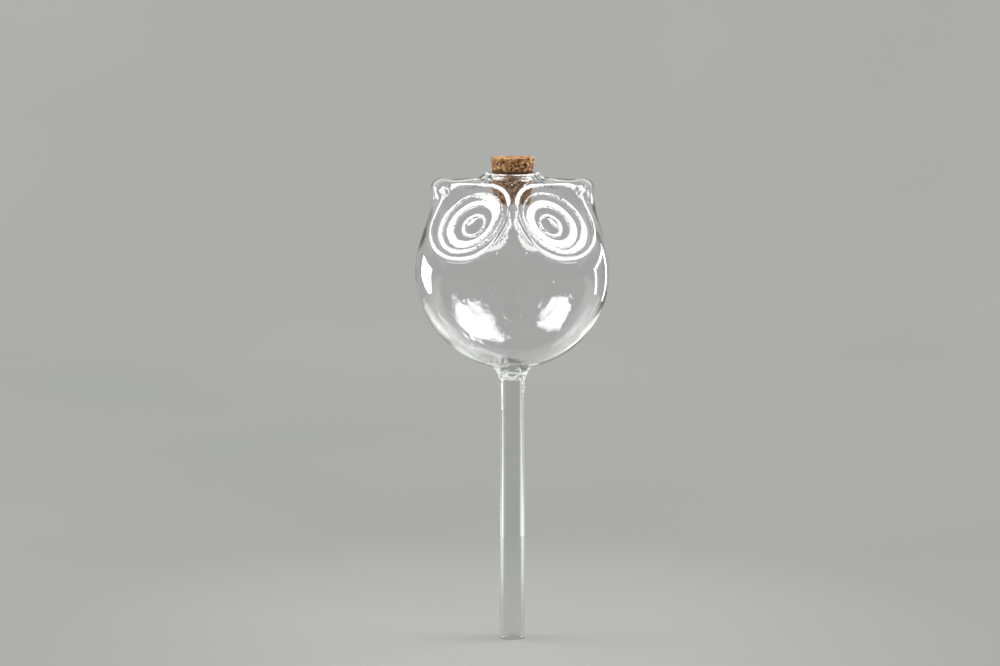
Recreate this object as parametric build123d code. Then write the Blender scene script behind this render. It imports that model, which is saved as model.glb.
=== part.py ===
from build123d import *
import math
import os

# Owl-shaped watering globe: a hollow blown-glass reservoir on a long glass stem.
# The stem is pushed into the soil, the reservoir is filled through the neck and
# closed with a tapered cork. The origin is the middle of the stem's upper end, as
# deep as the stem can be pushed in. +Z runs up the stem and the owl's face looks
# towards -Y. Lengths are in mm.

# Reservoir
globe_r = 43.0              # outer radius of the round body
globe_wall = 1.6            # glass of the body, ears and eye sockets

# Ears: blunt cones that swell out of the head, one on each side
ear_turn = 12.6             # degrees, from the side to the back
ear_lift = 47.8             # degrees, above level
ear_tip_out = 4.8           # middle of the rounded tip, beyond the round body
ear_tip_r = 4.9
ear_half_angle = 44.0       # degrees, between the cone's axis and its side
ear_root_share = 0.5        # of the tip's distance, how far down the cone starts

# Eyes: flat facets on the head, each with a shallow dish and raised rings in it
eye_turn = 38.5             # degrees, from straight ahead to the side
eye_lift = 39.0             # degrees, above level
facet_r = 20.3              # where the facet cuts the round body
dish_edge_r = 16.4
dish_depth = 2.0
edge_ring_width = 1.0       # thin ring on the dish's edge
edge_ring_height = 0.4
iris_ring_r = 10.8          # broad ring
iris_ring_width = 2.8
iris_ring_height = 0.9
pupil_ring_r = 4.2          # small ring round the pupil
pupil_ring_width = 1.5
pupil_ring_height = 0.6
pupil_lift = 1.9            # the pupils look up: their middle lies above the dish's

# Cork stopper
cork_length = 21.0
cork_top_r = 9.6
cork_bottom_r = 7.5
cork_edge = 0.5             # rubbed-off edge at both ends
cork_above_lip = 6.6        # how far the cork stands out of the neck

# Neck: a thick fire-polished ring that the cork seats in
neck_wall = 3.9
neck_lip_rise = 0.8         # lip above the top of the round body
neck_lip_round = 0.9
neck_flare = 2.2            # how far the foot of the ring spreads over the head
cork_seat_gap = 0.06        # radial clearance where the cork seats

# Stem and the collar of fused glass that joins it to the body
stem_length = 118.0         # from the collar down to the open end
stem_r = 5.5
stem_wall = 1.5
stem_rim_round = 0.6
drain_r = 6.6               # mouth of the funnel in the bottom of the hollow
collar_height = 5.8         # from the foot of the collar to its outer edge
collar_spread = 4.2         # how far it spreads under the body, from the stem
collar_foot = 0.3           # glass at its thin lower edge


def fall(radius, across):
    """How far a ball of this radius stands above or below its middle, off the axis."""
    return math.sqrt(radius ** 2 - across ** 2)


collar_r = stem_r + collar_spread
globe_z = collar_height + fall(globe_r, collar_r)
middle = Vector(0, 0, globe_z)
inner_r = globe_r - globe_wall
lip_z = globe_z + globe_r + neck_lip_rise
seat_z = lip_z - neck_lip_round
cork_top_z = lip_z + cork_above_lip
cork_taper = (cork_top_r - cork_bottom_r) / cork_length
neck_bore_r = cork_top_r - cork_taper * (cork_top_z - seat_z) + cork_seat_gap
neck_r = neck_bore_r + neck_wall
neck_foot_r = neck_r + neck_flare
stem_bore_r = stem_r - stem_wall
drain_z = globe_z - fall(inner_r, drain_r)
facet_reach = fall(globe_r, facet_r)
dish_r = (dish_edge_r ** 2 + dish_depth ** 2) / (2 * dish_depth)
dish_reach = facet_reach - dish_depth + dish_r
on_foot = (Align.CENTER, Align.CENTER, Align.MIN)


def ball(radius, at=middle):
    return Pos(at) * Sphere(radius)


def turned(outline):
    """A solid of revolution about the stem's axis, from closed edges in radius and height."""
    return revolve(Plane.XZ * make_face(outline), Axis.Z)


def eye_axis(side):
    turn = math.radians(eye_turn)
    lift = math.radians(eye_lift)
    level = math.cos(lift)
    return Vector(side * level * math.sin(turn), -level * math.cos(turn), math.sin(lift))


def ear_axis(side):
    turn = math.radians(ear_turn)
    lift = math.radians(ear_lift)
    level = math.cos(lift)
    return Vector(side * level * math.cos(turn), level * math.sin(turn), math.sin(lift))


def ear(side, inset):
    """A blunt cone from deep inside the head to its rounded tip."""
    axis = ear_axis(side)
    tip = axis * (globe_r + ear_tip_out)
    radius = ear_tip_r - inset
    half_angle = math.radians(ear_half_angle)
    touch = tip + axis * (radius * math.sin(half_angle))
    touch_r = radius * math.cos(half_angle)
    length = ear_root_share * tip.length
    root = touch - axis * length
    root_r = touch_r + length * math.tan(half_angle)
    cone = Cone(root_r, touch_r, length, align=on_foot)
    return Plane(middle + root, z_dir=axis) * cone + ball(radius, middle + tip)


def eye_plane(side, reach):
    """A plane square to the eye's axis, at this distance from the body's middle."""
    axis = eye_axis(side)
    return Plane(middle + axis * reach, x_dir=axis.cross(Vector(0, 0, 1)), z_dir=axis)


def head(inset):
    """The body with its ears, less the facets and dishes; an inset gives the hollow."""
    form = ball(globe_r - inset) + ear(-1, inset) + ear(1, inset)
    for side in (-1, 1):
        form -= eye_plane(side, facet_reach - inset) * Cylinder(globe_r, globe_r, align=on_foot)
        form -= ball(dish_r + inset, middle + eye_axis(side) * dish_reach)
    return form


def dish_ring(side, ring_r, width, height, lift=0):
    """A rounded ring standing up from the dish, as a part-sunk torus."""
    half = width / 2
    tube_r = (half ** 2 + height ** 2) / (2 * height)
    reach = dish_reach - fall(dish_r, ring_r) - (tube_r - height)
    return eye_plane(side, reach) * Pos(0, lift) * Torus(ring_r, tube_r)


def neck_ring():
    foot_z = globe_z + fall(globe_r, neck_foot_r)
    outline = [
        Line((0, lip_z), (neck_r - neck_lip_round, lip_z)),
        TangentArc((neck_r - neck_lip_round, lip_z), (neck_r, seat_z), tangent=(1, 0)),
        TangentArc((neck_r, seat_z), (neck_foot_r, foot_z), tangent=(0, -1)),
        Line((neck_foot_r, foot_z), (0, globe_z)),
        Line((0, globe_z), (0, lip_z)),
    ]
    return turned(outline)


def neck_hole():
    mouth_r = neck_bore_r + neck_lip_round
    outline = [
        Line((0, globe_z), (neck_bore_r, globe_z)),
        Line((neck_bore_r, globe_z), (neck_bore_r, seat_z)),
        TangentArc((neck_bore_r, seat_z), (mouth_r, lip_z), tangent=(0, 1)),
        Line((mouth_r, lip_z), (mouth_r, cork_top_z)),
        Line((mouth_r, cork_top_z), (0, cork_top_z)),
        Line((0, cork_top_z), (0, globe_z)),
    ]
    return turned(outline)


def drain():
    """The funnel that leads from the hollow down into the stem."""
    return Cone(stem_bore_r, drain_r, drain_z, align=on_foot)


def make_globe():
    shell = head(0) + neck_ring()
    for side in (-1, 1):
        shell += dish_ring(side, dish_edge_r, edge_ring_width, edge_ring_height)
        shell += dish_ring(side, iris_ring_r, iris_ring_width, iris_ring_height)
        shell += dish_ring(side, pupil_ring_r, pupil_ring_width, pupil_ring_height, pupil_lift)
    shell -= head(globe_wall)
    shell -= neck_hole()
    return shell - drain()


def make_weld_collar():
    edge_z = globe_z - fall(globe_r, collar_r)
    foot_r = stem_r + collar_foot
    outline = [
        Line((0, 0), (foot_r, 0)),
        TangentArc((foot_r, 0), (collar_r, edge_z), tangent=(0, 1)),
        Line((collar_r, edge_z), (0, globe_z)),
        Line((0, globe_z), (0, 0)),
    ]
    return turned(outline) - ball(globe_r) - drain()


def make_stem():
    below = (Align.CENTER, Align.CENTER, Align.MAX)
    rod = Cylinder(stem_r, stem_length, align=below)
    tube = rod - Cylinder(stem_bore_r, stem_length, align=below)
    open_end = tube.faces().sort_by(Axis.Z)[0].edges()
    return fillet(open_end, stem_rim_round)


def make_cork_stopper():
    place = Pos(0, 0, cork_top_z - cork_length)
    body = Cone(cork_bottom_r, cork_top_r, cork_length, align=on_foot)
    return place * fillet(body.edges().filter_by(GeomType.CIRCLE), cork_edge)


os.makedirs("parts", exist_ok=True)
export_step(make_globe(), "parts/globe.step")
export_step(make_weld_collar(), "parts/weld_collar.step")
export_step(make_stem(), "parts/stem.step")
export_step(make_cork_stopper(), "parts/cork_stopper.step")
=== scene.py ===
import math

import bpy
import numpy as np
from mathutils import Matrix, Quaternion, Vector


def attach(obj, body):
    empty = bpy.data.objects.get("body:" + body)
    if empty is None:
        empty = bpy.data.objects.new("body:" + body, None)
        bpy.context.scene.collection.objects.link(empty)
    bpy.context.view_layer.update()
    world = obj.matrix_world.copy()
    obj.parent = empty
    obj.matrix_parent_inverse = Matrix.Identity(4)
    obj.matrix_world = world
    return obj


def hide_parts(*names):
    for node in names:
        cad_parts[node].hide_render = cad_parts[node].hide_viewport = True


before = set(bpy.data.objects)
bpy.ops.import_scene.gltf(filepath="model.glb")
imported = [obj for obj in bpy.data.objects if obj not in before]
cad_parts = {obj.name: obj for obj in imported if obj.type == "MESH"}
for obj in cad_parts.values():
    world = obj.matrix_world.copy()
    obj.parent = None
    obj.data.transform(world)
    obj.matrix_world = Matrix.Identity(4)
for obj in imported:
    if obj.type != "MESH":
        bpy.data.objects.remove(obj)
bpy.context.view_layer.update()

# An owl-shaped watering globe of clear blown glass on a drawn glass stem, closed with a cork.
# Lengths are in mm, and MM turns them to metres. The globe is worked out about the middle of
# its round body, the other pieces about the stem's upper end. The owl looks towards -Y.
MM = 0.001

# ---------------------------------------------------------------- sizes

# The round body and its wall
BODY_R = 43.0
WALL = 1.6
BODY_Z = 47.692               # middle of the body above the stem's upper end
SKIN_INSET = 0.06             # keeps the waves of the outside within the solid
DRAIN_BORE_R = 4.0            # stem bore, where the drain funnel starts
DRAIN_FLARE = 1.8             # how much wider the funnel is where the collar ends
DRAIN_R = 6.6                 # mouth of the funnel in the floor of the hollow
FUNNEL_RISE = 4.7             # height of the funnel in the collar

# Ears, and the brow that joins each ear to the neck
EAR_TIP = (31.3, 8.6, 35.7)
EAR_TIP_R = 4.9
EAR_ROOT = 23.9               # how far from the body's middle the ear's cone starts
EAR_ROOT_R = 21.6
EAR_FILLET = 5.0
EAR_BLUNT = 0.985             # how far the hollow reaches into the ears
BROW_OUTER = (29.0, 2.0, 34.6)
BROW_INNER = (15.0, 0.0, 35.6)
BROW_R = 5.0
BROW_FILLET = 4.0

# Neck
LIP_R = 12.81
LIP_RISE = 43.8
LIP_ROUND = 1.2
NECK_FILLET = 3.0
NECK_RISE = 36.5              # where its lumpy glass starts
NECK_REACH = 20.0             # and how far out that goes
BORE_R = 8.91
BORE_FOOT = 38.9              # where the bore opens into the hollow
MOUTH_ROUND = 0.9

# Eye sockets: flat facets with a rounded corner towards the ear, a shallow dish and rings
EYE_TURN = 38.5               # degrees from straight ahead
EYE_LIFT = 39.8               # degrees above level
FACET_REACH = 38.15
DISH_R = 15.6
DISH_DEPTH = 0.3
PUPIL_R = 4.5
PUPIL_DEPTH = 0.4
PUPIL_NOSE = 2.3              # from the eye's axis towards the nose
PUPIL_DROP = 1.7              # and down
SOCKET_OUTER = 21.2           # from the eye's axis to the socket's edge, on the ear's side
SOCKET_INNER = 18.2
SOCKET_TOP = 19.6
SOCKET_FOOT = 19.4
# Powers of the superellipse that rounds each quarter: foot and top on the nose's side are the
# first and third, on the ear's side the second and fourth
SOCKET_POWERS = (2.6, 1.75, 2.1, 6.0)
SOCKET_SLOPE = 0.8            # how steeply the socket's edge is cut
SOCKET_ROUND = 0.6            # rounding at the foot of that cut
SOCKET_EASE = 0.5             # softness of the socket's edge
INSIDE_EASE = 0.8             # and inside the glass, where it never touched the mould
BEAD_HEIGHT = 0.35            # raised bead round each socket
# Its width all the way round, also that of the painted white highlight along it: degrees from the
# ear's side up over the brow, and mm
BEAD_TURNS = (-180, -165, -150, -125, -95, -45, 0, 20, 50, 75, 100, 140, 147, 151, 180)
BEAD_WIDTHS = (0.3, 0.5, 0.8, 1.5, 1.6, 1.35, 1.2, 1.05, 1.05, 1.4, 1.7, 2.0, 1.6, 0.5, 0.3)
# The painted highlight on the glass between the two sockets: degrees, distance from the eye's axis,
# and width
CREST_HIGHLIGHT_TURNS = (155, 160, 168, 179, 189, 193, 200, 208, 215, 223, 226)
CREST_HIGHLIGHT_REACH = (19.0, 19.0, 19.8, 21.2, 21.2, 22.3, 22.5, 22.4, 21.4, 20.4, 20.2)
CREST_HIGHLIGHT_WIDTHS = (0.0, 0.2, 0.7, 1.4, 0.5, 1.2, 1.8, 2.4, 1.9, 0.8, 0.0)
# Rings about each eye, left and right: radius, width and height, the middle's place towards
# the nose and up, and how the ring swells outwards and upwards. Each ring is also painted white
# as a highlight. The last one of each eye has no height: it is only a painted highlight, a patch
# of reflected light, which shows on one side only.
RINGS = {
    -1: (
        (15.3, 1.2, 0.35, 0.5, -0.3, 0.6, -0.5),
        (10.8, 3.1, 0.7, 1.4, -0.9, 0.1, -0.1),
        (5.3, 1.5, 0.5, 2.8, -1.7, 0.3, 0.1),
        (13.7, -6.5, 0.0, 0.0, -0.5, 0.80, -1.30),
    ),
    1: (
        (15.4, 1.3, 0.35, 0.5, -0.3, 0.3, -0.6),
        (10.7, 3.9, 0.7, 2.0, -0.9, -0.1, -0.1),
        (5.2, 1.5, 0.5, 3.3, -1.7, 0.3, 0.1),
        (14.0, -6.5, 0.0, 0.0, -0.5, -0.95, 1.05),
    ),
}
RING_WAVER = 0.5              # how far a ring strays from its circle
RING_FALL = 6.0               # how far below its facet the glass is still lifted

# Painted highlights on the front of the ears, drop-shaped, as seen from straight ahead: from,
# to, and the radius at each end
EAR_HIGHLIGHTS = (
    ((-34.2, 0.0, 37.0), (-33.0, 0.0, 32.9), 0.45, 0.8),
    ((33.2, 0.0, 36.2), (33.3, 0.0, 33.2), 0.35, 0.5),
)
# Painted highlights, round spots on the body's front: to the right and above its middle, and
# the radius. The splashes lie beside the collar, and the seeds stand for tiny bubbles in the
# wall, painted as the glints they give.
SPLASH_HIGHLIGHTS = ((-7.8, -39.8, 3.6), (9.2, -39.6, 2.8))
SEED_GLINTS = (
    (-6.6, 12.8, 0.5),
    (5.8, 12.7, 0.5),
    (17.4, 0.2, 0.55),
    (28.6, -29.2, 0.55),
    (5.5, -33.5, 0.6),
)
# How sharply the painted highlight of each ends: a higher number gives a crisper edge
BEAD_CRISP = 2.5
DROP_CRISP = 1.5
SEED_CRISP = 2.0

# The collar of fused glass: it flares from the stem to the body and is folded by the flame
COLLAR_HEIGHT = 5.8
COLLAR_R = 9.7
COLLAR_FOOT = 0.3             # how far its foot stands out from the stem
COLLAR_HEM = 0.8              # width of the upper edge, over which it enters the body's glass
FUSED_ABOVE = 1.2             # how far the collar's glass runs into the body's
FUSED_BELOW = 0.05            # and into the stem's

# The stem, a drawn tube
STEM_R = 5.5
STEM_WALL = 1.5
STEM_LENGTH = 118.0
STEM_RIM = 0.6                # rounding of its open end

# The cork
CORK_LENGTH = 21.0
CORK_TOP_R = 9.6
CORK_BOTTOM_R = 7.5
CORK_EDGE = 0.5
CORK_FOOT_Z = 77.092          # its underside above the stem's upper end
GRAIN = 0.95                  # across a granule

# The globe's mesh. Degrees round it, and the spacing there: fine on the face
GLOBE_TURNS = ((-180, 4.0), (-100, 3.0), (-78, 0.62), (78, 0.62), (100, 3.0), (180, 4.0))
DRAIN_EDGE = 0.1              # degrees between the last two rows, for a crisp edge at the drain
NEAREST, FARTHEST = 20.0, 62.0    # the glass lies between these from the body's middle
HALVINGS = 24                 # of that distance, to find the surface
INNER_RELIEF = 0.25           # how much of a ring's height shows inside the wall
COLUMNS = 120                 # points round the collar and the stem
CORK_COLUMNS = 180

# Unevenness of the glass: how wide its waves are, and how deep
MOULD_WAVE, MOULD_WAVE_DEPTH = 26, 0.05      # the globe's outside, which the mould held
INNER_WAVE, INNER_WAVE_DEPTH = 17, 0.16      # its inside, which hung free
NECK_LUMP, NECK_LUMP_DEPTH = 2.4, 0.26       # the neck, worked in the flame
COLLAR_LUMP, COLLAR_LUMP_DEPTH = 3.2, 0.28
COLLAR_FOLD, COLLAR_FOLD_DEPTH = 1.9, 0.16   # folds that run round the collar
STEM_WAVE = 14
STEM_BORE_DEPTH, STEM_SKIN_DEPTH = 0.05, 0.015
STEM_DRAW = 0.06              # the stem's waves are drawn out lengthwise by one over this

SIDES = (-1, 1)               # the eye and ear towards -X, then those towards +X

# The kinds of node that are used most, and the sockets of a Mix node that mixes colours
MATH, VECTOR, RANGE = "ShaderNodeMath", "ShaderNodeVectorMath", "ShaderNodeMapRange"
NOISE, MIX = "ShaderNodeTexNoise", "ShaderNodeMix"
MIX_A, MIX_B, MIXED = 6, 7, 2


def linear(code):
    """A linear colour, opaque, from an sRGB hex value."""
    parts = [int(code[i : i + 2], 16) / 255 for i in (1, 3, 5)]
    return (*(p / 12.92 if p <= 0.04045 else ((p + 0.055) / 1.055) ** 2.4 for p in parts), 1)


def add(tree, kind, inputs=None, **settings):
    """Adds a node to a tree, with its settings, and its inputs as values or links. A node that
    is given as an input is linked by its first output."""
    made = tree.nodes.new(kind)
    for name, value in settings.items():
        setattr(made, name, value)
    for key, value in (inputs or {}).items():
        if isinstance(value, bpy.types.Node):
            value = value.outputs[0]
        if isinstance(value, bpy.types.NodeSocket):
            tree.links.new(value, made.inputs[key])
        else:
            made.inputs[key].default_value = value
    return made


# ---------------------------------------------------------------- the owl's form


def merge(a, b, ease):
    """The union of two distance fields, with a fillet."""
    h = np.maximum(ease - np.abs(a - b), 0) / ease
    return np.minimum(a, b) - h * h * ease / 4


def carve(a, b, ease):
    """What two distance fields have in common, with a rounded edge."""
    return -merge(-a, -b, ease)


def tapered(p, a, b, r_a, r_b):
    """Distance to a tapered rod with round ends."""
    along = b - a
    length = np.linalg.norm(along)
    q = p - a
    y = q @ (along / length)
    x = np.sqrt(np.maximum((q * q).sum(-1) - y * y, 0))
    s = (r_a - r_b) / length
    c = math.sqrt(1 - s * s)
    t = y * c - x * s
    side = x * c + y * s - r_a
    past_end = np.where(t > length * c, np.hypot(x, y - length) - r_b, side)
    return np.where(t < 0, np.hypot(x, y) - r_a, past_end)


def eye_frame(side):
    """The eye's axis, its direction towards the ear, and its upward direction."""
    turn, lift = math.radians(EYE_TURN), math.radians(EYE_LIFT)
    axis = np.array([
        side * math.cos(lift) * math.sin(turn),
        -math.cos(lift) * math.cos(turn),
        math.sin(lift),
    ])
    outward = np.array([side * math.cos(turn), math.sin(turn), 0.0])
    return axis, outward, np.cross(axis, outward) * side


def head(p, blunt=1.0):
    """Distance to the body with its ears, brows and neck, before the sockets are cut."""
    d = np.linalg.norm(p, axis=-1) - BODY_R
    for side in SIDES:
        flip = np.array([side, 1, 1])
        tip = np.array(EAR_TIP) * flip
        root = tip * (EAR_ROOT / np.linalg.norm(tip))
        ear = tapered(p, root, tip * blunt, EAR_ROOT_R, EAR_TIP_R / blunt)
        d = merge(d, ear, EAR_FILLET / blunt ** 2)
        outer, inner = np.array(BROW_OUTER) * flip, np.array(BROW_INNER) * flip
        d = merge(d, tapered(p, outer, inner, BROW_R, BROW_R), BROW_FILLET)
    across = np.hypot(p[..., 0], p[..., 1])
    lip = carve(across - LIP_R, p[..., 2] - LIP_RISE, LIP_ROUND * 2)
    lip = np.maximum(lip, LIP_RISE / 2 - p[..., 2])     # nothing of it in the body's lower half
    return merge(d, lip, NECK_FILLET)


def socket(p, side):
    """How far a point stands above the facet, and how far inside the socket's outline."""
    axis, outward, upward = eye_frame(side)
    a, b, h = p @ outward, p @ upward, p @ axis
    across = np.hypot(a, b)
    turn = np.arctan2(b, a)
    reach_a = np.where(a > 0, SOCKET_OUTER, SOCKET_INNER)
    reach_b = np.where(b > 0, SOCKET_TOP, SOCKET_FOOT)
    power = np.choose(2 * (b > 0) + (a > 0), SOCKET_POWERS)
    corner = np.abs(np.cos(turn) / reach_a) ** power + np.abs(np.sin(turn) / reach_b) ** power
    outline = corner ** (-1 / power)
    dip = DISH_DEPTH * np.clip(1 - (across / DISH_R) ** 2, 0, None)
    from_pupil = np.hypot(a + PUPIL_NOSE, b + PUPIL_DROP)
    dip = dip + PUPIL_DEPTH * np.clip(1 - (from_pupil / PUPIL_R) ** 2, 0, None)
    return h - (FACET_REACH - dip), outline - across


def bead(p, side):
    """How far inside the bead round a socket a point is, 0 on its edge, and half its width."""
    axis, outward, upward = eye_frame(side)
    inside = socket(p, side)[1]
    turn = np.degrees(np.arctan2(p @ upward, p @ outward))
    half = np.interp(turn, BEAD_TURNS, BEAD_WIDTHS) / 2
    return np.where(p @ axis > FACET_REACH / 2, half - np.abs(inside), -BODY_R), half


def crest_highlight(p, side):
    """How far inside the painted highlight between the sockets a point is."""
    axis, outward, upward = eye_frame(side)
    a, b = p @ outward, p @ upward
    turn = np.degrees(np.arctan2(b, a)) % 360
    half = np.interp(turn, CREST_HIGHLIGHT_TURNS, CREST_HIGHLIGHT_WIDTHS, 0, 0) / 2
    within = half - np.abs(np.hypot(a, b) - np.interp(turn, CREST_HIGHLIGHT_TURNS, CREST_HIGHLIGHT_REACH))
    return np.where((half > 0) & (p @ axis > FACET_REACH / 2), within, -BODY_R)


def outside(p):
    """The owl as the mould shaped it, with a bead round each socket."""
    d = head(p)
    raised = np.zeros(d.shape)
    for side in SIDES:
        above, inside = socket(p, side)
        d = carve(d, merge(above, inside * SOCKET_SLOPE, SOCKET_ROUND), SOCKET_EASE)
        within, half = bead(p, side)
        raised = np.maximum(raised, np.sqrt(np.clip(within / half, 0, None)))
    return d - raised * BEAD_HEIGHT


def hollow(p):
    """The softer form inside the glass."""
    d = head(p, EAR_BLUNT)
    for side in SIDES:
        d = carve(d, socket(p, side)[0], INSIDE_EASE)
    return d + WALL


def surface(directions, form):
    """How far a form's surface lies from the body's middle each way."""
    low = np.full(directions.shape[:-1], NEAREST)
    high = np.full(directions.shape[:-1], FARTHEST)
    for _ in range(HALVINGS):
        middle = (low + high) / 2
        inside = form(directions * middle[..., None]) < 0
        low = np.where(inside, middle, low)
        high = np.where(inside, high, middle)
    return (low + high) / 2


def on_front(x, z):
    """The point of the round body's front that is x to the right and z above its middle."""
    return np.array([x, -math.sqrt(BODY_R ** 2 - x * x - z * z), z])


def ripple(p, size, seed, count=10):
    """A gentle waviness of blown glass, between -1 and 1, with waves of about this size."""
    rng = np.random.default_rng(seed)
    total = np.zeros(p.shape[:-1])
    for _ in range(count):
        way = rng.normal(size=3)
        way *= 2 * math.pi / (size * rng.uniform(0.7, 1.5)) / np.linalg.norm(way)
        total += np.sin(p @ way + rng.uniform(0, 2 * math.pi))
    return total / count * 1.6


def spaced(stops):
    """Angles from (angle, spacing) stops, in degrees, with the spacing eased between them."""
    out = [stops[0][0]]
    ends = [s[0] for s in stops]
    gaps = [s[1] for s in stops]
    while out[-1] < ends[-1]:
        out.append(out[-1] + float(np.interp(out[-1], ends, gaps)))
    out = np.array(out)
    return ends[0] + (out - ends[0]) * (ends[-1] - ends[0]) / (out[-1] - ends[0])


def new_piece(name, points, faces, material):
    """A smooth object at the origin, from points in metres."""
    mesh = bpy.data.meshes.new(name)
    mesh.from_pydata(points, [], faces)
    mesh.update()
    mesh.shade_smooth()
    mesh.materials.append(material)
    piece = bpy.data.objects.new(name, mesh)
    bpy.context.scene.collection.objects.link(piece)
    return piece


def ring_mesh(name, rows, material, **attributes):
    """A closed mesh from rows of points that go round the stem's axis and back to the first
    row. Each square is split along its shorter diagonal."""
    n_rows, n_cols = rows.shape[:2]
    row = np.arange(n_rows)[:, None] * n_cols
    column = np.arange(n_cols)[None, :]
    next_row, next_column = np.roll(row, -1), np.roll(column, -1)
    quads = np.stack([
        row + column,
        row + next_column,
        next_row + next_column,
        next_row + column,
    ], -1).reshape(-1, 4)
    p = rows.reshape(-1, 3)
    first = np.linalg.norm(p[quads[:, 0]] - p[quads[:, 2]], axis=-1)
    second = np.linalg.norm(p[quads[:, 1]] - p[quads[:, 3]], axis=-1)
    along_first, along_second = quads[:, [0, 1, 2, 0, 2, 3]], quads[:, [0, 1, 3, 1, 2, 3]]
    faces = np.where((first <= second)[:, None], along_first, along_second).reshape(-1, 3)
    corners = p[faces]
    volume = (corners[:, 0] * np.cross(corners[:, 1], corners[:, 2])).sum()
    if volume < 0:
        faces = faces[:, ::-1]
    piece = new_piece(name, (p * MM).tolist(), faces.tolist(), material)
    for label, values in attributes.items():
        follow = piece.data.attributes.new(label, "FLOAT", "POINT")
        follow.data.foreach_set("value", values.reshape(-1).astype(np.float32))
    return piece


def turned_rows(profile, columns, wobble=None):
    """Rows of points from a closed (radius, height) profile, turned about the stem's axis."""
    turn = np.linspace(0, 2 * math.pi, columns, endpoint=False)
    rows = np.stack([
        np.stack([r * np.sin(turn), -r * np.cos(turn), np.full(columns, z)], -1)
        for r, z in profile
    ])
    return rows if wobble is None else rows + wobble(rows)


# ---------------------------------------------------------------- materials


def new_material(name):
    """A material with an empty node tree, and that tree."""
    material = bpy.data.materials.new(name)
    material.use_nodes = True
    material.node_tree.nodes.clear()
    return material, material.node_tree


# Real sizes that the patterns follow
STREAK = 18                   # faint streaks of colour in the glass
FINE_WAVE = 1.3               # the glass's finest waves
HIGHLIGHT_TOOTH = 0.8             # teeth along the ragged edge of a painted highlight line
CRUMB = 0.5                   # crumbs within a cork granule
BARK = 1.1                    # dark flecks of bark between the granules
LIP_SHADE_BAND = (0.6, 1.1)        # half the width of the painted shade band on the cork at the lip, dark and fading
RING_DRIFT = 7                # how far apart the bends in an eye ring's circle are


def clear_glass(name, tint, deep_tint, wave_mm, wave_depth_mm, fine_depth_mm):
    """Soda-lime glass, fire polished: clear with a faint grey-green cast, and a surface that
    wavers a little, so that highlights break up at their edges. Where its marking attribute is
    above 0 it turns white, nearly opaque and a little rough: a painted highlight with a ragged
    edge, standing in for the light that the relief catches, and in small part satin left by the
    mould or the flame."""
    material, tree = new_material(name)
    place = add(tree, "ShaderNodeTexCoord").outputs["Object"]
    streaks = add(tree, NOISE, {"Vector": place, "Scale": 1 / (STREAK * MM), "Detail": 2.0})
    cast = add(tree, MIX, {
        "Factor": streaks, MIX_A: linear(tint), MIX_B: linear(deep_tint),
    }, data_type="RGBA").outputs[MIXED]
    waver = add(tree, NOISE, {
        "Vector": place, "Scale": 1 / (wave_mm * MM), "Detail": 1.5, "Roughness": 0.4,
    })
    wide = add(tree, "ShaderNodeBump", {"Height": waver, "Distance": wave_depth_mm * MM})
    fine = add(tree, NOISE, {"Vector": place, "Scale": 1 / (FINE_WAVE * MM), "Detail": 1.0})
    bump = add(tree, "ShaderNodeBump", {
        "Height": fine, "Distance": fine_depth_mm * MM, "Normal": wide,
    })
    # The marked relief turns white: a painted highlight, frayed at its edge by noise, with a little
    # satin roughness.
    ridge = add(tree, "ShaderNodeAttribute", attribute_name="ridge").outputs["Fac"]
    highlight_fray_noise = add(tree, NOISE, {"Vector": place, "Scale": 1 / (HIGHLIGHT_TOOTH * MM), "Detail": 2.0})
    highlight_fray = add(tree, RANGE, {
        "Value": highlight_fray_noise, "From Min": 0.35, "From Max": 0.65, "To Min": -0.52, "To Max": 0.32,
    })
    edge = add(tree, MATH, {0: ridge, 1: highlight_fray}, operation="ADD")
    highlight_mask = add(tree, RANGE, {"Value": edge, "From Min": -0.06, "From Max": 0.06})
    clear = add(tree, RANGE, {"Value": highlight_mask, "To Min": 1.0, "To Max": 0.06})
    rough = add(tree, RANGE, {"Value": highlight_mask, "To Max": 0.35})
    highlight_white = add(tree, MIX, {
        "Factor": highlight_mask, MIX_A: cast, MIX_B: linear("#FFFFFE"),
    }, data_type="RGBA").outputs[MIXED]
    glass = add(tree, "ShaderNodeBsdfPrincipled", {
        "Base Color": highlight_white,
        "Roughness": rough,
        "IOR": 1.51,
        "Transmission Weight": clear,
        "Normal": bump,
    })
    path = add(tree, "ShaderNodeLightPath")
    lamp_light = add(tree, "ShaderNodeBsdfTransparent", {"Color": linear("#F6F8F7")})
    both = add(tree, "ShaderNodeMixShader", {
        0: path.outputs["Is Shadow Ray"], 1: glass, 2: lamp_light,
    })
    add(tree, "ShaderNodeOutputMaterial", {"Surface": both})
    return material


# Blown into a mould: broad soft waves, which give its highlights wavering edges
blown_glass = clear_glass("blown_soda_lime_glass", "#FAF9FB", "#F9F8F9", 5.0, 0.010, 0.006)
# Drawn out as a tube: almost true, so that its highlights are long straight lines
drawn_glass = clear_glass("drawn_glass_tube", "#F5F6F5", "#F2F3F2", 9.0, 0.001, 0.0005)
# Fused in the flame: tight deep crinkles, which sparkle and blur what lies behind them
fused_glass = clear_glass("flame_fused_glass", "#FBFCFA", "#F3F6F3", 1.6, 0.10, 0.006)


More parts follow.
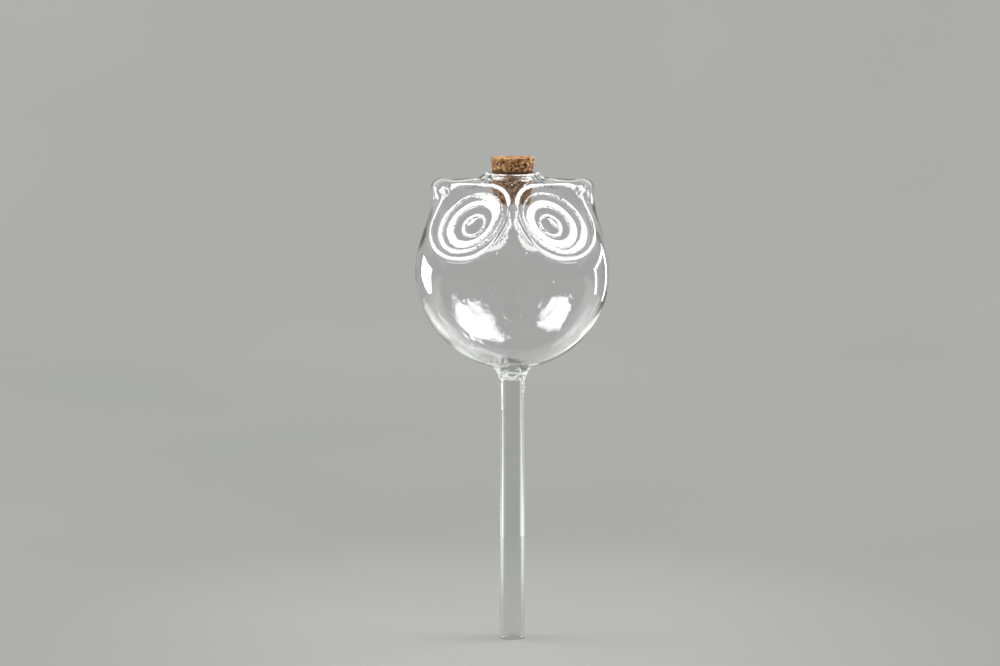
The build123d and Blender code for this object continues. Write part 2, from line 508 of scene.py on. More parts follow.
def agglomerated_cork():
    """Pressed cork granules: tan grains of many shades with dark bark and binder between them,
    and a dark band at the lip's height, painted shade where the cork goes into the glass. Quite
    matt, so it reads as dry and crumbly beside the glass."""
    material, tree = new_material("agglomerated_cork")
    place = add(tree, "ShaderNodeTexCoord").outputs["Object"]
    granules = {"Vector": place, "Scale": 1 / (GRAIN * MM)}
    grains = add(tree, "ShaderNodeTexVoronoi", granules, feature="F1")
    edges = add(tree, "ShaderNodeTexVoronoi", granules, feature="DISTANCE_TO_EDGE")
    shade = add(tree, "ShaderNodeSeparateColor", {0: grains.outputs["Color"]})
    tones = add(tree, "ShaderNodeValToRGB", {"Fac": shade})
    darkest, palest = tones.color_ramp.elements
    darkest.color, palest.color = linear("#301A0A"), linear("#E6BB8A")
    for position, code in ((0.24, "#7E4F28"), (0.45, "#B58048"), (0.75, "#D09C64")):
        tones.color_ramp.elements.new(position).color = linear(code)
    fine = add(tree, NOISE, {"Vector": place, "Scale": 1 / (CRUMB * MM), "Detail": 3.0})
    mottled = add(tree, MIX, {
        "Factor": 0.35, MIX_A: tones, MIX_B: fine.outputs["Color"],
    }, data_type="RGBA", blend_type="OVERLAY").outputs[MIXED]
    seam = add(tree, RANGE, {"Value": edges, "From Max": 0.10, "To Min": 0.75, "To Max": 0.0})
    bark = add(tree, NOISE, {"Vector": place, "Scale": 1 / (BARK * MM), "Detail": 1.0})
    specks = add(tree, RANGE, {"Value": bark, "From Min": 0.57, "From Max": 0.64})
    dark = add(tree, MATH, {0: seam, 1: specks}, operation="MAXIMUM")
    # Painted shade: a dark band on the cork at the height of the lip's top.
    height = add(tree, "ShaderNodeSeparateXYZ", {0: place}).outputs["Z"]
    above_lip = add(tree, MATH, {
        0: height, 1: (BODY_Z + LIP_RISE + 0.1) * MM,
    }, operation="SUBTRACT")
    from_lip = add(tree, MATH, {0: above_lip}, operation="ABSOLUTE")
    lip_shade = add(tree, RANGE, {
        "Value": from_lip,
        "From Min": LIP_SHADE_BAND[0] * MM,
        "From Max": LIP_SHADE_BAND[1] * MM,
        "To Min": 0.92,
        "To Max": 0.0,
    })
    dark = add(tree, MATH, {0: dark, 1: lip_shade}, operation="MAXIMUM")
    colour = add(tree, MIX, {
        "Factor": dark, MIX_A: mottled, MIX_B: linear("#38200E"),
    }, data_type="RGBA").outputs[MIXED]
    rough = add(tree, RANGE, {"Value": fine, "To Min": 0.75, "To Max": 0.95})
    bump = add(tree, "ShaderNodeBump", {"Height": fine, "Strength": 0.6, "Distance": 0.08 * MM})
    skin = add(tree, "ShaderNodeBsdfPrincipled", {
        "Base Color": colour, "Roughness": rough, "Specular IOR Level": 0.3, "Normal": bump,
    })
    add(tree, "ShaderNodeOutputMaterial", {"Surface": skin})
    return material


cork_finish = agglomerated_cork()


# ---------------------------------------------------------------- relief and grain


def group_with_inputs(name, sockets):
    """A geometry tree with a geometry input, the named inputs, and a geometry output."""
    tree = bpy.data.node_groups.new(name, "GeometryNodeTree")
    face = tree.interface
    face.new_socket("Geometry", in_out="INPUT", socket_type="NodeSocketGeometry")
    keys = {}
    for label, kind in sockets:
        keys[label] = face.new_socket(label, in_out="INPUT", socket_type=kind).identifier
    face.new_socket("Geometry", in_out="OUTPUT", socket_type="NodeSocketGeometry")
    return tree, tree.nodes.new("NodeGroupInput").outputs, keys


def end_tree(tree, geometry, material):
    """Every tree ends in real geometry with its material."""
    real = add(tree, "GeometryNodeRealizeInstances", {"Geometry": geometry})
    painted = add(tree, "GeometryNodeSetMaterial", {"Geometry": real, "Material": material})
    add(tree, "NodeGroupOutput", {"Geometry": painted})


def raised_ring_tree(material):
    """Lifts the glass in a rounded ring about an eye's axis, and marks it for a painted white
    highlight.
    """
    tree, given, keys = group_with_inputs("raised_ring", [
        ("Middle", "NodeSocketVector"),
        ("Axis", "NodeSocketVector"),
        ("Radius", "NodeSocketFloat"),
        ("Width", "NodeSocketFloat"),
        ("Height", "NodeSocketFloat"),
        ("Waver", "NodeSocketFloat"),
        ("Swell", "NodeSocketVector"),
    ])

    # Where a point lies: above the facet, and across from the eye's axis
    place = add(tree, "GeometryNodeInputPosition")
    away = add(tree, VECTOR, {0: place, 1: given["Middle"]}, operation="SUBTRACT")
    above = add(tree, VECTOR, {0: away, 1: given["Axis"]}, operation="DOT_PRODUCT").outputs["Value"]
    lifted = add(tree, VECTOR, {0: given["Axis"], "Scale": above}, operation="SCALE")
    flat = add(tree, VECTOR, {0: away, 1: lifted}, operation="SUBTRACT")
    across = add(tree, VECTOR, {0: flat}, operation="LENGTH").outputs["Value"]

    # How far it is off the ring, whose circle wavers and whose width swells one way
    noise = add(tree, NOISE, {"Vector": place, "Scale": 1 / (RING_DRIFT * MM), "Detail": 1.0})
    drift = add(tree, MATH, {0: noise, 1: 0.5}, operation="SUBTRACT")
    strayed = add(tree, MATH, {0: drift, 1: given["Waver"], 2: across}, operation="MULTIPLY_ADD")
    off = add(tree, MATH, {0: strayed, 1: given["Radius"]}, operation="SUBTRACT")
    way = add(tree, VECTOR, {0: flat}, operation="NORMALIZE")
    swell = add(tree, VECTOR, {0: way, 1: given["Swell"]}, operation="DOT_PRODUCT").outputs["Value"]
    wide = add(tree, MATH, {
        0: swell, 1: given["Width"], 2: given["Width"],
    }, operation="MULTIPLY_ADD")

    # How much it rises: a rounded crown, full outside the wall and faint inside it
    share = add(tree, MATH, {0: off, 1: wide}, operation="DIVIDE")
    doubled = add(tree, MATH, {0: share, 1: 2.0}, operation="MULTIPLY")
    squared = add(tree, MATH, {0: doubled, 1: doubled}, operation="MULTIPLY")
    crown = add(tree, MATH, {0: 1.0, 1: squared}, operation="SUBTRACT", use_clamp=True)
    rounded = add(tree, MATH, {0: crown, 1: 0.85}, operation="POWER")
    tall = add(tree, MATH, {0: rounded, 1: given["Height"]}, operation="MULTIPLY")
    near = add(tree, MATH, {0: above, 1: -RING_FALL * MM}, operation="GREATER_THAN")
    relief = add(tree, "GeometryNodeInputNamedAttribute", {
        "Name": "relief",
    }, data_type="FLOAT").outputs["Attribute"]
    outer = add(tree, MATH, {0: relief, 1: near}, operation="MULTIPLY")
    rise = add(tree, MATH, {0: tall, 1: outer}, operation="MULTIPLY")
    offset = add(tree, VECTOR, {0: given["Axis"], "Scale": rise}, operation="SCALE")
    moved = add(tree, "GeometryNodeSetPosition", {"Geometry": given["Geometry"], "Offset": offset})

    # The painted highlight: how far inside the ring it is, in mm, on the outside only
    half = add(tree, MATH, {0: wide, 1: 0.5}, operation="MULTIPLY")
    far = add(tree, MATH, {0: off}, operation="ABSOLUTE")
    within = add(tree, MATH, {0: half, 1: far}, operation="SUBTRACT")
    in_mm = add(tree, MATH, {0: within, 1: 1 / MM}, operation="MULTIPLY")
    behind = add(tree, MATH, {0: outer, 1: 0.9}, operation="LESS_THAN")
    kept = add(tree, MATH, {0: behind, 1: -BODY_R, 2: in_mm}, operation="MULTIPLY_ADD")
    before = add(tree, "GeometryNodeInputNamedAttribute", {
        "Name": "ridge",
    }, data_type="FLOAT").outputs["Attribute"]
    ridge = add(tree, MATH, {0: before, 1: kept}, operation="MAXIMUM")
    marked = add(tree, "GeometryNodeStoreNamedAttribute", {
        "Geometry": moved, "Name": "ridge", "Value": ridge,
    }, data_type="FLOAT", domain="POINT")
    end_tree(tree, marked, material)
    return tree, keys


def cork_grain_tree(material):
    """Sinks the seams between cork granules and drops a few granules out of the skin."""
    tree, given, keys = group_with_inputs("cork_grain", [
        ("Grain", "NodeSocketFloat"),
        ("Seam Depth", "NodeSocketFloat"),
        ("Pit Depth", "NodeSocketFloat"),
    ])
    place = add(tree, "GeometryNodeInputPosition")
    scale = add(tree, MATH, {0: 1.0, 1: given["Grain"]}, operation="DIVIDE")
    granules = {"Vector": place, "Scale": scale}
    edges = add(tree, "ShaderNodeTexVoronoi", granules, feature="DISTANCE_TO_EDGE")
    grains = add(tree, "ShaderNodeTexVoronoi", granules, feature="F1")
    lot = add(tree, "FunctionNodeSeparateColor", {0: grains.outputs["Color"]}).outputs[1]
    seam = add(tree, RANGE, {"Value": edges, "From Max": 0.14, "To Min": 1.0, "To Max": 0.0})
    sunk = add(tree, MATH, {0: seam, 1: given["Seam Depth"]}, operation="MULTIPLY")
    missing = add(tree, RANGE, {"Value": lot, "From Min": 0.82, "From Max": 0.86})
    core = add(tree, RANGE, {"Value": edges, "From Min": 0.02, "From Max": 0.16})
    pit = add(tree, MATH, {0: missing, 1: core}, operation="MULTIPLY")
    hole = add(tree, MATH, {0: pit, 1: given["Pit Depth"], 2: sunk}, operation="MULTIPLY_ADD")
    inward = add(tree, MATH, {0: hole, 1: -1.0}, operation="MULTIPLY")
    normal = add(tree, "GeometryNodeInputNormal")
    offset = add(tree, VECTOR, {0: normal, "Scale": inward}, operation="SCALE")
    moved = add(tree, "GeometryNodeSetPosition", {"Geometry": given["Geometry"], "Offset": offset})
    end_tree(tree, moved, material)
    return tree, keys


def shape_by(piece, tree, keys, rounds):
    """Runs a geometry tree over a piece once for each set of inputs, and keeps the plain mesh."""
    for values in rounds:
        step = piece.modifiers.new(tree.name, "NODES")
        step.node_group = tree
        for label, value in values.items():
            step[keys[label]] = value
    shaped = piece.evaluated_get(bpy.context.evaluated_depsgraph_get())
    mesh = bpy.data.meshes.new_from_object(shaped)
    mesh.name = piece.name
    piece.modifiers.clear()
    piece.data = mesh


# ---------------------------------------------------------------- the glass


def make_globe():
    """The blown shell: its outside from the lip down to the drain, and back up the inside."""
    turn = np.radians(spaced(GLOBE_TURNS)[:-1])

    def directions(stops, foot):
        """Ways out from the middle, from (degrees down from the top, spacing) stops."""
        fall = spaced(stops + [(foot - DRAIN_EDGE, stops[-1][1])])
        t, f = np.meshgrid(np.radians(np.append(fall, foot)), turn, indexing="ij")
        return np.stack([np.sin(t) * np.sin(f), -np.sin(t) * np.cos(f), np.cos(t)], -1)

    def circle(radius, height):
        x, y = radius * np.sin(turn), -radius * np.cos(turn)
        return np.stack([x, y, np.full(len(turn), height)], -1)

    top = math.degrees(math.atan2(BORE_R + MOUTH_ROUND, LIP_RISE))
    foot = 180 - math.degrees(math.asin((DRAIN_BORE_R + DRAIN_FLARE) / BODY_R))
    way = directions([(top, 0.35), (18.5, 0.35), (22, 0.55), (80, 0.55), (92, 1.9)], foot)
    outer = way * surface(way, outside)[..., None]
    outer -= way * (ripple(outer, MOULD_WAVE, seed=3) * MOULD_WAVE_DEPTH + SKIN_INSET)[..., None]
    across = np.hypot(outer[..., 0], outer[..., 1])
    risen = np.clip((outer[..., 2] - NECK_RISE) / 2, 0, 1)
    on_neck = risen * np.clip((NECK_REACH - across) / 4, 0, 1)
    lumps = ripple(outer, NECK_LUMP, seed=13) * 0.5 + 0.5
    outer -= way * (lumps * NECK_LUMP_DEPTH * on_neck)[..., None]

    top = math.degrees(math.atan2(BORE_R, BORE_FOOT))
    foot = 180 - math.degrees(math.asin(DRAIN_R / (BODY_R - WALL)))
    way = directions([(top, 1.0), (25, 1.15), (80, 1.3), (92, 2.6)], foot)
    inner = way * surface(way, hollow)[..., None]
    inner += way * (ripple(inner, INNER_WAVE, seed=8) * INNER_WAVE_DEPTH)[..., None]

    seat = LIP_RISE - MOUTH_ROUND
    mouth = []
    for a in np.radians([20, 45, 70]):
        mouth.append(circle(
            BORE_R + MOUTH_ROUND * (1 - math.cos(a)),
            seat + MOUTH_ROUND * math.sin(a),
        ))
    bore_end = float(inner[0, :, 2].mean()) + 0.5
    bore = [circle(BORE_R, z) for z in np.linspace(seat, bore_end, 7)]
    funnel = [outer[-1] * (1 - s) + inner[-1] * s for s in (0.03, 0.5, 0.97)]
    rows = np.concatenate([outer, funnel, inner[::-1], bore[::-1], mouth])
    relief = np.concatenate([
        np.ones(outer.shape[:2]),
        np.zeros((len(funnel), len(turn))),
        np.full(inner.shape[:2], INNER_RELIEF),
        np.zeros((len(bore) + len(mouth), len(turn))),
    ])

    ridge = np.full(rows.shape[:2], -BODY_R)
    skin = ridge[: len(outer)]

    def mark(inside):
        """Marks the outside for the painted white highlight where this is above 0."""
        np.maximum(skin, inside, out=skin)

    # Painted highlights, marked on the outside: along each bead and between the sockets, at the
    # seeds, on the ears, beside the collar, round the neck and on the lip.
    for side in SIDES:
        mark(bead(outer, side)[0] * BEAD_CRISP)
        mark(crest_highlight(outer, side))
    for x, z, radius in SEED_GLINTS:
        mark(SEED_CRISP * (radius - np.linalg.norm(outer - on_front(x, z), axis=-1)))
    for start, end, start_r, end_r in EAR_HIGHLIGHTS:
        seen = outer * np.array([1, 0, 1])
        drop = -DROP_CRISP * tapered(seen, np.array(start), np.array(end), start_r, end_r)
        mark(np.where(outer[..., 1] < EAR_TIP[1], drop, -BODY_R))
    for x, z, radius in SPLASH_HIGHLIGHTS:
        splash_highlight = radius - np.linalg.norm(outer - on_front(x, z), axis=-1)
        mark(splash_highlight + 1.3 * ripple(outer, 2.2, seed=29))
    # Painted highlights: specks round the neck, and an uneven ring on top of the lip
    specks = ripple(outer, 1.7, seed=23) + 0.5 * ripple(outer, 5, seed=24) - 0.6
    mark(np.where((on_neck > 0.6) & (across > LIP_R - 1), specks, -BODY_R))
    lip_highlight = 0.55 - np.abs(across - LIP_R + 1.3) + 0.5 * ripple(outer, 5, seed=17)
    mark(np.where(outer[..., 2] > LIP_RISE - LIP_ROUND, lip_highlight, -BODY_R))
    rows = rows + np.array([0, 0, BODY_Z])
    return ring_mesh("blown_globe", rows, blown_glass, relief=relief, ridge=ridge)


def eye_rings():
    """The raised ring tree's inputs for every ring of both eyes."""
    rounds = []
    for side in SIDES:
        axis, outward, upward = eye_frame(side)
        for radius, width, height, nose, up, swell_out, swell_up in RINGS[side]:
            middle = axis * FACET_REACH - outward * nose + upward * up
            rounds.append({
                "Middle": ((middle + np.array([0, 0, BODY_Z])) * MM).tolist(),
                "Axis": axis.tolist(),
                "Radius": radius * MM,
                "Width": width * MM,
                "Height": height * MM,
                "Waver": RING_WAVER * MM,
                "Swell": (outward * swell_out + upward * swell_up).tolist(),
            })
    return rounds


def make_weld_collar():
    """The fused joint: a folded flare, the body's underside, the funnel and the foot."""
    foot_r = STEM_R + COLLAR_FOOT
    flare = []
    for a in np.linspace(0, math.pi / 2, 22):
        spread = 0.4 * math.sin(a) + 0.6 * (1 - math.cos(a))
        flare.append((foot_r + (COLLAR_R - foot_r) * spread, COLLAR_HEIGHT * math.sin(a)))
    under = []
    for r in np.linspace(COLLAR_R, DRAIN_BORE_R + DRAIN_FLARE, 12)[1:]:
        sunk = FUSED_ABOVE * min((COLLAR_R - r) / COLLAR_HEM, 1)
        under.append((r, BODY_Z - math.sqrt(BODY_R ** 2 - r * r) + sunk))
    bore = [(DRAIN_BORE_R + DRAIN_FLARE * s, FUNNEL_RISE * s) for s in (0.98, 0.66, 0.33, 0.02, 0)]
    foot = [(r, -FUSED_BELOW) for r in (DRAIN_BORE_R + 0.05, STEM_R - 0.5, foot_r - 0.05)]

    def folds(rows):
        level = rows[..., 2:3] / COLLAR_HEIGHT
        out = rows * np.array([1, 1, 0])
        reach = np.linalg.norm(out, axis=-1, keepdims=True)
        lump = ripple(rows, COLLAR_LUMP, seed=21)[..., None] * COLLAR_LUMP_DEPTH
        twist = ripple(rows, 7, seed=5)[..., None] * 1.5
        turn = rows[..., 2:3] / COLLAR_FOLD * 2 * math.pi + twist
        fold = np.sin(turn) * COLLAR_FOLD_DEPTH
        hem = np.clip(level * 5, 0, 1) * np.clip((1 - level) * 5, 0, 1) * (reach > STEM_R)
        return out / reach * (lump + fold) * hem

    rows = turned_rows(flare + under + bore + foot, COLUMNS, folds)
    # Painted highlights, standing in part for satin from bubbles and folds: most at the foot and at
    # the two sides seen from the front, stronger on the left, least at the top
    x, level = rows[..., 0], rows[..., 2] / COLLAR_HEIGHT
    crinkle_highlight = np.interp(level, [0, 0.1, 0.6, 0.75, 1], [0.6, 0.25, 0.1, -0.7, -0.7])
    side_highlights = np.clip((np.abs(x) - 6.0) / 1.2, 0, 1) * np.where(x < 0, 1.8, 1.1)
    side_highlights += np.clip(-5.0 - x, 0, 1) * np.clip(5 * level - 1.8, 0, 1) * 1.6
    bubble_glints = ripple(rows, 1.8, seed=9) * 0.9 + ripple(rows, 4.5, seed=12) * 0.5
    highlight_mask = bubble_glints + crinkle_highlight + side_highlights
    highlight_mask[len(flare) :] = -BODY_R
    return ring_mesh("fused_collar", rows, fused_glass, ridge=highlight_mask)


def make_stem():
    """The drawn tube, with fire-rounded edges at its open end and a white band under the collar:
    frosting, painted white as a highlight.
    """
    bore_r = STEM_R - STEM_WALL
    bend_z = STEM_RIM - STEM_LENGTH
    down = np.concatenate([     # rows lie close together at the top, where the painted white band is
        [0, 0.03, 0.3, 0.7, 1.1, 1.5],
        np.linspace(2, STEM_LENGTH - 4 * STEM_RIM, 58),
    ])
    skin = [(STEM_R, -z) for z in down]
    rim = []
    for middle_r, way in ((STEM_R - STEM_RIM, 1), (bore_r + STEM_RIM, -1)):
        for a in np.radians([0, 22, 45, 68, 90][::way]):
            r = middle_r + way * STEM_RIM * math.cos(a)
            rim.append((r, bend_z - STEM_RIM * math.sin(a)))
    bore = [(bore_r, -z) for z in down[::-1]]

    def draw_waves(rows):
        out = rows * np.array([1, 1, 0])
        reach = np.linalg.norm(out, axis=-1, keepdims=True)
        depth = np.where(reach < STEM_R - STEM_WALL / 2, STEM_BORE_DEPTH, STEM_SKIN_DEPTH)
        wave = ripple(rows * np.array([1, 1, STEM_DRAW]), STEM_WAVE, seed=31)[..., None] * depth
        return out / reach * wave * np.clip(-rows[..., 2:3] / 3, 0, 1)

    rows = turned_rows(skin + rim + bore, COLUMNS, draw_waves)
    frosting_highlight = rows[..., 2] + 0.25 + 0.7 * ripple(rows, 2.6, seed=19)
    frosting_highlight[len(skin) :] = -BODY_R
    return ring_mesh("stem_tube", rows, drawn_glass, ridge=frosting_highlight)


globe = make_globe()
shape_by(globe, *raised_ring_tree(blown_glass), eye_rings())
collar = make_weld_collar()
stem = make_stem()

# ---------------------------------------------------------------- the cork


def make_cork():
    """A tapered plug with slightly broken edges, turned from its underside to its top."""
    slope = (CORK_TOP_R - CORK_BOTTOM_R) / CORK_LENGTH
    side = [
        (CORK_BOTTOM_R + slope * z, z)
        for z in np.linspace(CORK_EDGE, CORK_LENGTH - CORK_EDGE, 62)
    ]
    edge, base = [], []
    for a in np.radians([30, 60, 90]):
        inset, drop = CORK_EDGE * (1 - math.cos(a)), CORK_EDGE * (1 - math.sin(a))
        edge.append((CORK_TOP_R - inset, CORK_LENGTH - drop))
        base.append((CORK_BOTTOM_R - inset, drop))
    lid = [(r, CORK_LENGTH) for r in np.linspace(CORK_TOP_R - CORK_EDGE, 0, 30)[1:-1]]
    floor = [(r, 0.0) for r in np.linspace(0, CORK_BOTTOM_R - CORK_EDGE, 24)[1:-1]]
    profile = floor + base[::-1] + side + edge + lid
    rows = turned_rows([(r, z + CORK_FOOT_Z) for r, z in profile][::-1], CORK_COLUMNS)
    n_rows, n_cols = rows.shape[:2]
    poles = [[0, 0, CORK_FOOT_Z + CORK_LENGTH], [0, 0, CORK_FOOT_Z]]
    points = np.concatenate([rows.reshape(-1, 3), poles])
    faces = []
    for i in range(0, (n_rows - 1) * n_cols, n_cols):
        for j in range(n_cols):
            k = (j + 1) % n_cols
            faces.append((i + j, i + n_cols + j, i + n_cols + k, i + k))
    last = (n_rows - 1) * n_cols
    for j in range(n_cols):
        k = (j + 1) % n_cols
        faces.append((n_rows * n_cols, j, k))
        faces.append((n_rows * n_cols + 1, last + k, last + j))
    return new_piece("tapered_cork", (points * MM).tolist(), faces, cork_finish)


cork = make_cork()
shape_by(cork, *cork_grain_tree(cork_finish), [{
    "Grain": GRAIN * MM,
    "Seam Depth": 0.10 * MM,
    "Pit Depth": 0.45 * MM,
}])

# ---------------------------------------------------------------- stage, in metres

FLOOR_Z = -STEM_LENGTH * MM
GREY = "#ADAEAB"


def studio_paper():
    """Grey studio paper, evenly lit: it shows its own colour, and close round the stem it also
    takes the object's shadow. Mirrored in the glass it is paler in places: a painted glow that
    stands in for studio lamps."""
    material, tree = new_material("grey_studio_paper")
    place = add(tree, "ShaderNodeTexCoord").outputs["Object"]
    cloud = add(tree, NOISE, {"Vector": place, "Scale": 2.2, "Detail": 4.0})
    tone = add(tree, RANGE, {"Value": cloud, "From Min": 0.3, "From Max": 0.7})
    colour = add(tree, MIX, {
        "Factor": tone, MIX_A: linear("#AAACA8"), MIX_B: linear("#B0B0AD"),
    }, data_type="RGBA").outputs[MIXED]

    # Painted glow, seen only in the glass: a band of floor close behind the stem, and the wall high
    # up
    apart = add(tree, "ShaderNodeSeparateXYZ", {0: place})
    behind = add(tree, RANGE, {"Value": apart.outputs["Y"], "From Min": 0.02, "From Max": 0.10})
    near = add(tree, RANGE, {
        "Value": apart.outputs["Y"],
        "From Min": 0.22,
        "From Max": 0.34,
        "To Min": 1.0,
        "To Max": 0.0,
    })
    band = add(tree, MATH, {0: behind, 1: near}, operation="MULTIPLY")
    aside = add(tree, MATH, {0: apart.outputs["X"]}, operation="ABSOLUTE")
    parted = add(tree, RANGE, {
        "Value": aside, "From Min": 0.01, "From Max": 0.08, "To Min": 0.1, "To Max": 1.0,
    })
    low = add(tree, MATH, {0: band, 1: parted}, operation="MULTIPLY")
    high = add(tree, RANGE, {"Value": apart.outputs["Z"], "From Min": 0.30, "From Max": 0.60})
    sheen = add(tree, MATH, {0: high, 1: low}, operation="MAXIMUM")
    path = add(tree, "ShaderNodeLightPath")
    bounced = add(tree, MATH, {0: path.outputs["Glossy Depth"], 1: 0.5}, operation="GREATER_THAN")
    mirrored = add(tree, MATH, {0: bounced, 1: sheen}, operation="MULTIPLY")
    shown = add(tree, MIX, {
        "Factor": mirrored, MIX_A: colour, MIX_B: linear("#F1F7F0"),
    }, data_type="RGBA").outputs[MIXED]

    # Its plain colour for the eye and the glass, mixed with real light near the stem's foot
    plain = add(tree, "ShaderNodeEmission", {"Color": shown})
    lit = add(tree, "ShaderNodeBsdfDiffuse", {"Color": colour})
    seen = add(tree, MATH, {
        0: path.outputs["Is Camera Ray"], 1: path.outputs["Is Glossy Ray"],
    }, operation="MAXIMUM")
    seen = add(tree, MATH, {0: seen, 1: path.outputs["Is Transmission Ray"]}, operation="MAXIMUM")
    from_foot = add(tree, VECTOR, {
        0: place, 1: (0, 0, FLOOR_Z),
    }, operation="DISTANCE").outputs["Value"]
    far = add(tree, RANGE, {
        "Value": from_foot, "From Min": 0.02, "From Max": 0.22, "To Min": 0.55, "To Max": 1.0,
    })
    share = add(tree, MATH, {0: seen, 1: far}, operation="MULTIPLY")
    both = add(tree, "ShaderNodeMixShader", {0: share, 1: lit, 2: plain})
    add(tree, "ShaderNodeOutputMaterial", {"Surface": both})
    return material


def make_sweep():
    """A floor that curves up into a backdrop."""
    depth, height, bend_r, half_width = 1.3, 1.9, 0.5, 2.6
    line = [(-1.6, 0.0), (-0.6, 0.0), (0.0, 0.0), (depth - bend_r, 0.0)]
    for a in np.linspace(0, math.pi / 2, 14)[1:]:
        line.append((depth - bend_r + bend_r * math.sin(a), bend_r - bend_r * math.cos(a)))
    line.append((depth, height))
    points = [(x, y, FLOOR_Z + z) for y, z in line for x in (-half_width, half_width)]
    faces = [(i, i + 1, i + 3, i + 2) for i in range(0, len(points) - 2, 2)]
    return new_piece("backdrop_sweep", points, faces, studio_paper())


make_sweep()


def studio_room():
    """A grey room: it shows its colour, a shade darker in mirrored light, and dimly lights
    what is matt."""
    world = bpy.data.worlds.new("studio_room")
    world.use_nodes = True
    tree = world.node_tree
    tree.nodes.clear()
    path = add(tree, "ShaderNodeLightPath")
    bounced = add(tree, MATH, {0: path.outputs["Glossy Depth"], 1: 0.5}, operation="GREATER_THAN")
    seen = add(tree, MIX, {
        "Factor": bounced, MIX_A: linear(GREY), MIX_B: linear("#A0A1A0"),
    }, data_type="RGBA").outputs[MIXED]
    lit = add(tree, MIX, {
        "Factor": path.outputs["Is Diffuse Ray"], MIX_A: seen, MIX_B: (0.18, 0.18, 0.18, 1),
    }, data_type="RGBA").outputs[MIXED]
    light = add(tree, "ShaderNodeBackground", {"Color": lit})
    add(tree, "ShaderNodeOutputWorld", {"Surface": light})
    return world


bpy.context.scene.world = studio_room()

# ---------------------------------------------------------------- lights and camera, in metres

AIM = Vector((0, 0, BODY_Z * MM))


def soft_box(name, azimuth, elevation, distance, width, height, radiance, roll=0):
    """A light box that faces the globe. It lights what is matt, and doesn't show in glass."""
    turn, lift = math.radians(azimuth), math.radians(elevation)
    way = Vector((
        math.sin(turn) * math.cos(lift),
        -math.cos(turn) * math.cos(lift),
        math.sin(lift),
    ))
    data = bpy.data.lights.new(name, "AREA")
    data.shape = "RECTANGLE"
    data.size, data.size_y = width, height
    data.energy = radiance * math.pi * width * height
    box = bpy.data.objects.new(name, data)
    bpy.context.scene.collection.objects.link(box)
    box.location = AIM + way * distance
    box.rotation_mode = "QUATERNION"
    rolled = Quaternion((0, 0, 1), math.radians(roll))
    box.rotation_quaternion = way.to_track_quat("Z", "Y") @ rolled
    box.visible_camera = False
    box.visible_diffuse = True
    box.visible_glossy = box.visible_transmission = False
    return box


def glint_box(*place, roll=0, passes=None, corners=(), rim=None, fray=0.0):
    """A soft box, placed as one, that shows in glass and lights nothing matt. It can show only
    after the light has passed through so many faces of glass. Its glow can be cut to a shape
    by corners, clockwise, from 0 to 1 each way, with a frayed edge, or to that shape's rim."""
    box = soft_box(*place, roll=roll)
    box.visible_diffuse = False
    box.visible_glossy = box.visible_transmission = True
    box.data.use_nodes = True
    tree = box.data.node_tree
    tree.nodes.clear()
    path = add(tree, "ShaderNodeLightPath")
    shown = add(tree, MATH, {0: path.outputs["Diffuse Depth"], 1: 0.5}, operation="LESS_THAN")
    if passes:
        fewest, most = passes
        passed = add(tree, MATH, {
            0: path.outputs["Transmission Depth"],
            1: (fewest + most) / 2,
            2: (most - fewest) / 2 + 0.5,
        }, operation="COMPARE")
        shown = add(tree, MATH, {0: shown, 1: passed}, operation="MULTIPLY")
    if corners:
        face = add(tree, "ShaderNodeNewGeometry").outputs["Parametric"]
        tear = add(tree, NOISE, {"Vector": face, "Scale": 7.0, "Detail": 2.0, "Roughness": 0.9})
        torn = add(tree, RANGE, {"Value": tear, "To Min": -fray, "To Max": fray})
        within = None
        for (x, y), (x_next, y_next) in zip(corners, corners[1:] + corners[:1]):
            length = math.hypot(x_next - x, y_next - y)
            out = ((y - y_next) / length, (x_next - x) / length, 0)
            along = add(tree, VECTOR, {0: face, 1: out}, operation="DOT_PRODUCT").outputs["Value"]
            depth = add(tree, MATH, {0: out[0] * x + out[1] * y, 1: along}, operation="SUBTRACT")
            if within is None:
                within = depth
            else:
                within = add(tree, MATH, {0: within, 1: depth}, operation="MINIMUM")
        ragged = add(tree, MATH, {0: within, 1: torn}, operation="ADD")
        lit = add(tree, MATH, {0: ragged, 1: 0.0}, operation="GREATER_THAN")
        shown = add(tree, MATH, {0: shown, 1: lit}, operation="MULTIPLY")
        if rim:
            near = add(tree, MATH, {0: within, 1: rim}, operation="LESS_THAN")
            shown = add(tree, MATH, {0: shown, 1: near}, operation="MULTIPLY")
    glow = add(tree, "ShaderNodeEmission", {"Strength": shown})
    add(tree, "ShaderNodeOutputLight", {"Surface": glow})
    return box


# Name, azimuth from straight ahead to the right, elevation, distance, width, height, radiance
soft_box("fill_left", -97, 28, 1.4, 0.9, 1.0, 6.8)
soft_box("fill_right", 97, 28, 1.4, 0.9, 1.0, 6.8)
soft_box("fill_top", 0, 80, 1.4, 1.2, 1.2, 3.0)
soft_box("fill_low", 0, -28, 0.23, 0.12, 0.08, 4.2)
glint_box("box_right", 73, 48, 1.25, 0.66, 0.95, 13, roll=8, passes=(0, 3))
glint_box("box_left", -72, 43, 1.25, 0.62, 0.85, 13, roll=-10, passes=(0, 3))
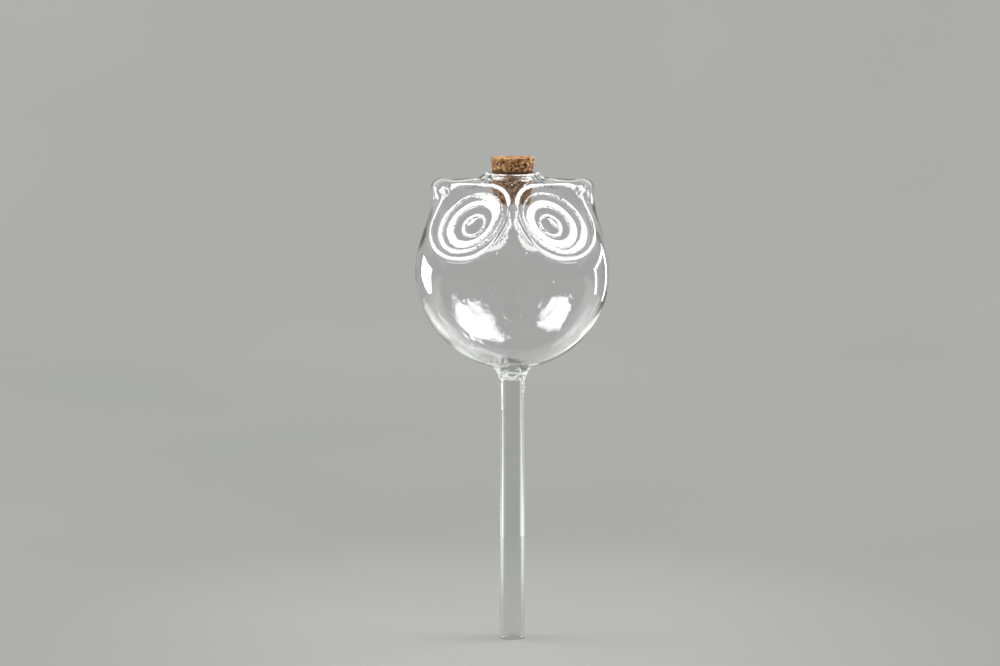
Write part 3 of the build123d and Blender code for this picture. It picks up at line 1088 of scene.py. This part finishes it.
# Two windows, as they show in the far wall's inner face
glint_box(
    "window_right", 109, 54, 1.25, 1.70, 1.25, 16, roll=25, passes=(4, 6), fray=0.44,
    corners=((0.12, 0.15), (0.02, 0.85), (0.35, 0.96), (0.63, 1.0), (0.76, 0.84), (0.71, 0.19)),
)
glint_box(
    "window_left", -89, 46, 1.25, 0.95, 1.06, 17, roll=35, passes=(4, 6), fray=0.40,
    corners=(
        (0.76, 0.08), (0.15, 0.11), (0.05, 0.55), (0.02, 0.88),
        (0.30, 0.91), (0.86, 0.75), (0.99, 0.38),
    ),
)
# Their edges, as they show in the near wall's sides
glint_box(
    "strip_left", -116.8, -7, 0.50, 0.32, 0.19, 12, passes=(0, 1),
    corners=((0.45, 0.05), (0.09, 0.50), (0.09, 1.0), (0.25, 0.98), (0.80, 0.84), (0.68, 0.05)),
)
glint_box(
    "strip_right", 125.0, -5.0, 0.40, 0.34, 0.175, 10, passes=(0, 1), rim=0.10,
    corners=((0.46, -0.8), (0.09, 0.71), (0.77, 1.0), (1.09, -0.8)),
)
# Strips beside the stem, whose long lines show in it: azimuth and width
STRIP_Z = -0.065
for azimuth, width in ((-133, 0.045), (122, 0.014), (150, 0.035)):
    strip = glint_box(f"stem_strip_{azimuth}", azimuth, 0, 0.2, width, 0.10, 0.72)
    strip.location.z = STRIP_Z

camera = bpy.data.objects.new("camera", bpy.data.cameras.new("camera"))
bpy.context.scene.collection.objects.link(camera)
camera.data.lens = 100
camera.data.sensor_width = 36
camera.data.clip_start = 0.01
camera.location = (-0.0055, -1.2162, 0.1970)
LOOKS_DOWN = 8.27             # degrees from level
camera.rotation_euler = (math.radians(90 - LOOKS_DOWN), 0, 0)
bpy.context.scene.camera = camera
bpy.context.scene.view_settings.view_transform = "Standard"

# ---------------------------------------------------------------- the frame's bodies

for piece, body, node, finish in (
    (globe, "vessel", "globe", "clear_glass"),
    (collar, "vessel", "weld_collar", "clear_glass"),
    (stem, "vessel", "stem", "clear_glass"),
    (cork, "stopper", "cork_stopper", "cork"),
):
    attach(piece, body)
    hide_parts(node)
